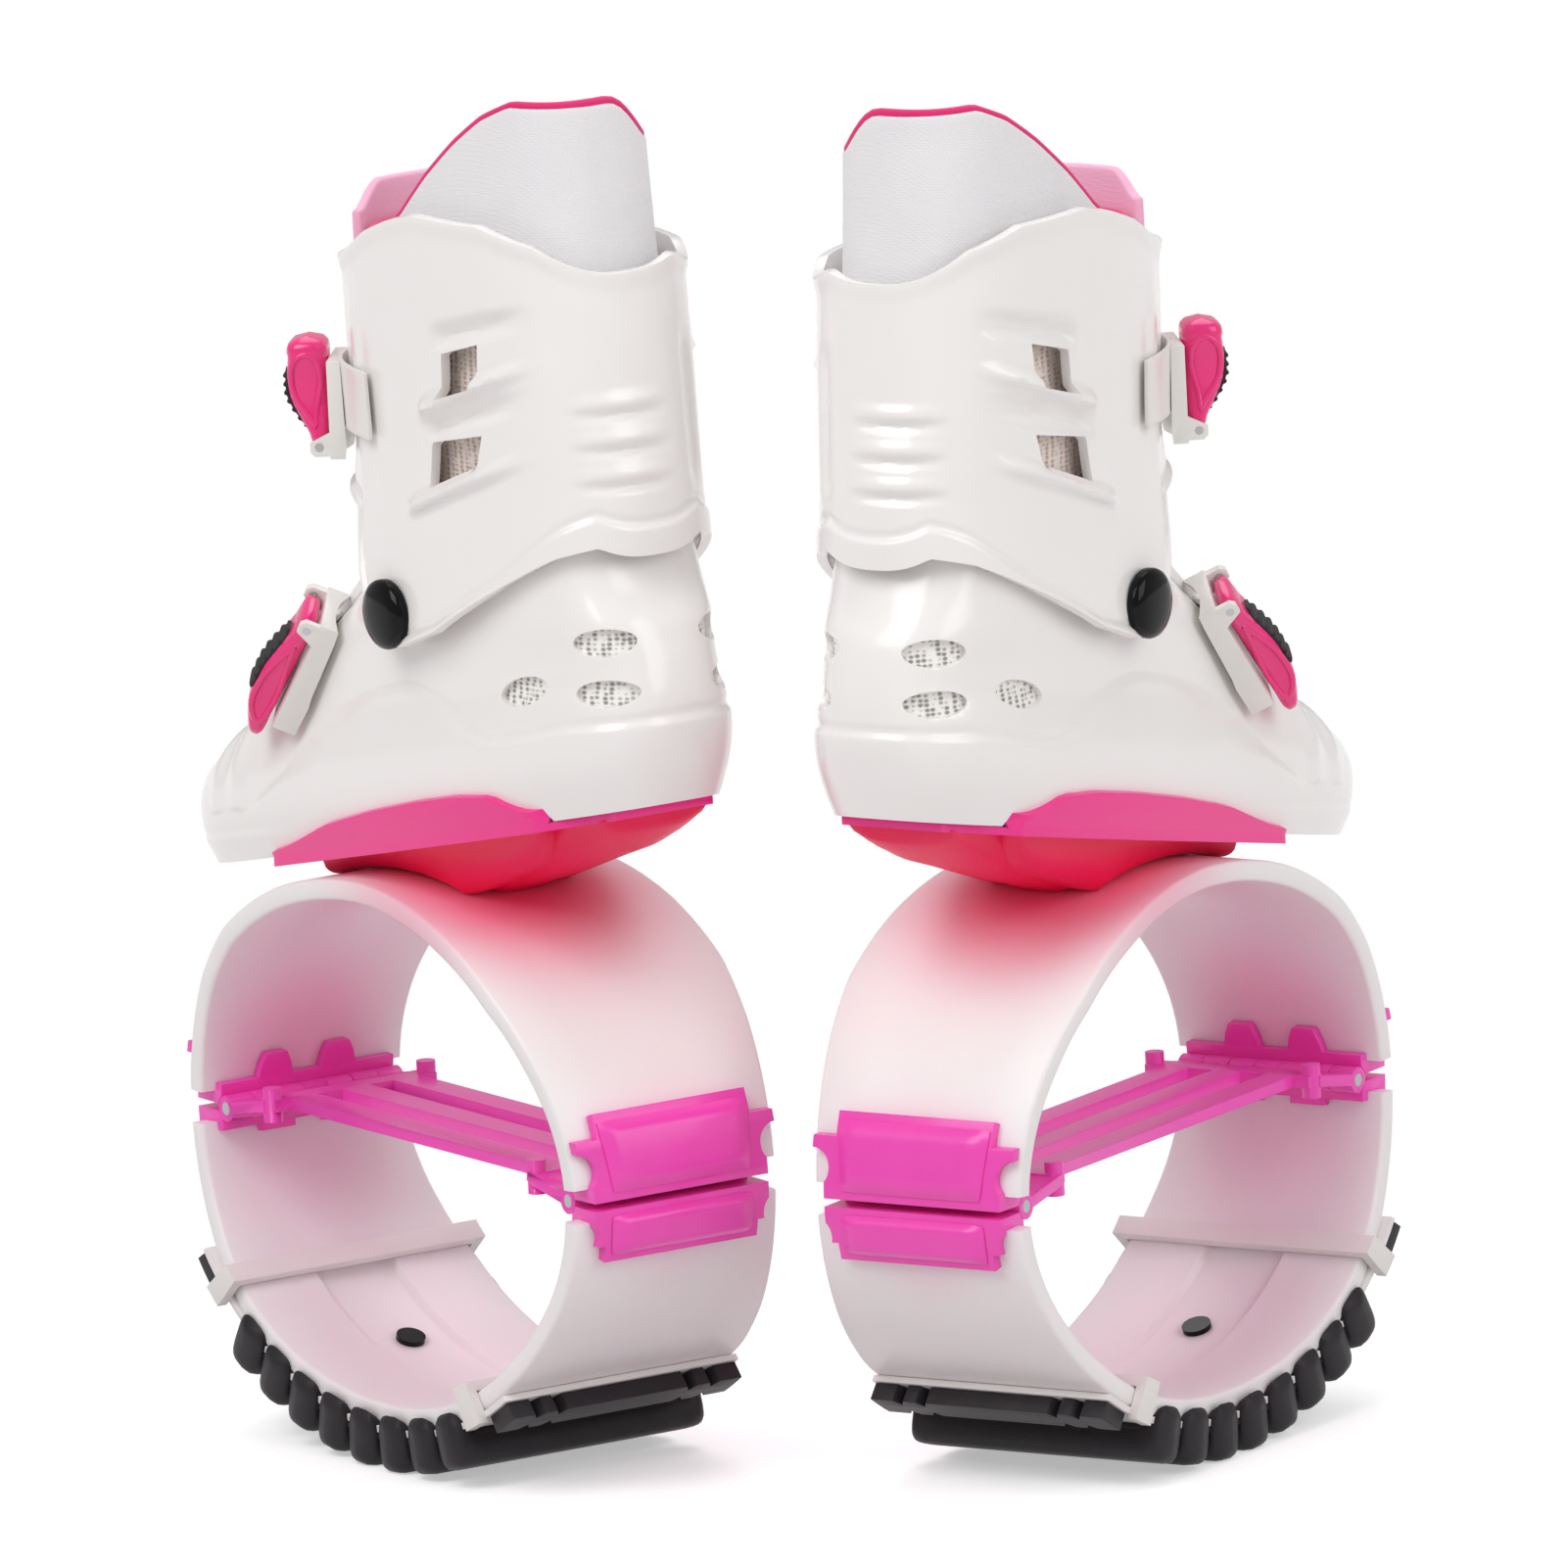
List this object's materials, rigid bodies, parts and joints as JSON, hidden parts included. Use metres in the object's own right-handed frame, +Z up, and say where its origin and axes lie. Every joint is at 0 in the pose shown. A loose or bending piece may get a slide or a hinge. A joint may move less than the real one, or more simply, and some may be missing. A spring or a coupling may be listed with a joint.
{
  "type": "jumping shoes",
  "caption": "Pair of jumping shoes: hard white boots with pink buckles on springy white arches with black lugged treads.",
  "frame": {"origin": "midway between the two shoes, on the ground", "axes": "+Z up, +Y away from the viewer who sees the heels, towards the toes, which turn out; +X to the wearer's right shoe"},
  "size_m": [0.4542, 0.3274, 0.5388],
  "materials": {
    "shell": "glossy off-white",
    "arch": "milky translucent white",
    "pink": "glossy hot pink",
    "base_white": "satin white",
    "tread": "matte black rubber",
    "liner": "pale grey padded fabric",
    "strap": "satin white",
    "grip": "black toothed insert",
    "metal": "plain steel",
    "rivet": "glossy black cap"
  },
  "bodies": {
    "ground": {"left_tread": "tread", "left_tread_base": "base_white", "left_tread_screws": "rivet", "left_bottom_arch": "arch", "left_top_arch": "arch", "right_tread": "tread", "right_tread_base": "base_white", "right_tread_screws": "rivet", "right_bottom_arch": "arch", "right_top_arch": "arch"},
    "left_mid_body": {"left_front_hinge_upper": "pink", "left_front_hinge_lower": "pink", "left_rear_hinge_upper": "pink", "left_rear_hinge_lower": "pink", "left_hinge_pins": "metal", "left_tension_spring": "pink"},
    "left_boot_body": {"left_sole_plate": "pink", "left_sole_bolts": "metal", "left_shell": "shell", "left_cuff_rivets": "rivet", "left_liner": "liner", "left_insole": "liner", "left_liner_shaft": "liner", "left_lower_strap": "strap", "left_lower_buckle_base": "strap", "left_lower_buckle_pin": "metal"},
    "left_cuff_body": {"left_cuff": "shell", "left_tongue": "liner", "left_upper_strap": "strap", "left_upper_buckle_base": "strap", "left_upper_buckle_pin": "metal"},
    "left_upper_lever_body": {"left_upper_lever": "pink", "left_upper_lever_grip": "grip"},
    "left_lower_lever_body": {"left_lower_lever": "pink", "left_lower_lever_grip": "grip"},
    "right_mid_body": {"right_front_hinge_upper": "pink", "right_front_hinge_lower": "pink", "right_rear_hinge_upper": "pink", "right_rear_hinge_lower": "pink", "right_hinge_pins": "metal", "right_tension_spring": "pink"},
    "right_boot_body": {"right_sole_plate": "pink", "right_sole_bolts": "metal", "right_shell": "shell", "right_cuff_rivets": "rivet", "right_liner": "liner", "right_insole": "liner", "right_liner_shaft": "liner", "right_lower_strap": "strap", "right_lower_buckle_base": "strap", "right_lower_buckle_pin": "metal"},
    "right_cuff_body": {"right_cuff": "shell", "right_tongue": "liner", "right_upper_strap": "strap", "right_upper_buckle_base": "strap", "right_upper_buckle_pin": "metal"},
    "right_upper_lever_body": {"right_upper_lever": "pink", "right_upper_lever_grip": "grip"},
    "right_lower_lever_body": {"right_lower_lever": "pink", "right_lower_lever_grip": "grip"}
  },
  "joints": [
    {"name": "left_arch_press", "type": "slide", "parent": "ground", "child": "left_boot_body", "axis": [0, 0, -1], "range_m": [0, 0.032], "stiffness_N_per_m": 12000, "springref_m": -0.004, "deforming": ["left_top_arch", "left_bottom_arch"]},
    {"name": "left_hinge_press", "type": "slide", "parent": "ground", "child": "left_mid_body", "axis": [0, 0, -1], "range_m": [0, 0.016]},
    {"name": "left_cuff_rock", "type": "hinge", "parent": "left_boot_body", "child": "left_cuff_body", "pos_m": [-0.0982, -0.00402, 0.333], "axis": [-0.8434, -0.5373, 0], "range_deg": [-5, 6], "deforming": ["left_liner_shaft"]},
    {"name": "left_upper_lever_open", "type": "hinge", "parent": "left_cuff_body", "child": "left_upper_lever_body", "pos_m": [-0.1629, 0.02056, 0.39], "axis": [-0.1305, -0.9914, 0], "range_deg": [0, 100]},
    {"name": "left_lower_lever_open", "type": "hinge", "parent": "left_boot_body", "child": "left_lower_lever_body", "pos_m": [-0.17136, 0.02897, 0.32302], "axis": [0.1224, 0.9297, 0.3473], "range_deg": [0, 100]},
    {"name": "right_arch_press", "type": "slide", "parent": "ground", "child": "right_boot_body", "axis": [0, 0, -1], "range_m": [0, 0.032], "stiffness_N_per_m": 12000, "springref_m": -0.004, "deforming": ["right_top_arch", "right_bottom_arch"]},
    {"name": "right_hinge_press", "type": "slide", "parent": "ground", "child": "right_mid_body", "axis": [0, 0, -1], "range_m": [0, 0.016]},
    {"name": "right_cuff_rock", "type": "hinge", "parent": "right_boot_body", "child": "right_cuff_body", "pos_m": [0.0982, -0.05502, 0.333], "axis": [-0.8434, 0.5373, 0], "range_deg": [-5, 6], "deforming": ["right_liner_shaft"]},
    {"name": "right_upper_lever_open", "type": "hinge", "parent": "right_cuff_body", "child": "right_upper_lever_body", "pos_m": [0.1629, -0.03044, 0.39], "axis": [-0.1305, 0.9914, 0], "range_deg": [0, 100]},
    {"name": "right_lower_lever_open", "type": "hinge", "parent": "right_boot_body", "child": "right_lower_lever_body", "pos_m": [0.17136, -0.02203, 0.32302], "axis": [0.1224, -0.9297, -0.3473], "range_deg": [0, 100]}
  ],
  "couplings": [
    {"joint": "left_hinge_press", "follows": "left_arch_press", "ratio": 0.4904},
    {"joint": "right_hinge_press", "follows": "right_arch_press", "ratio": 0.4904}
  ]
}
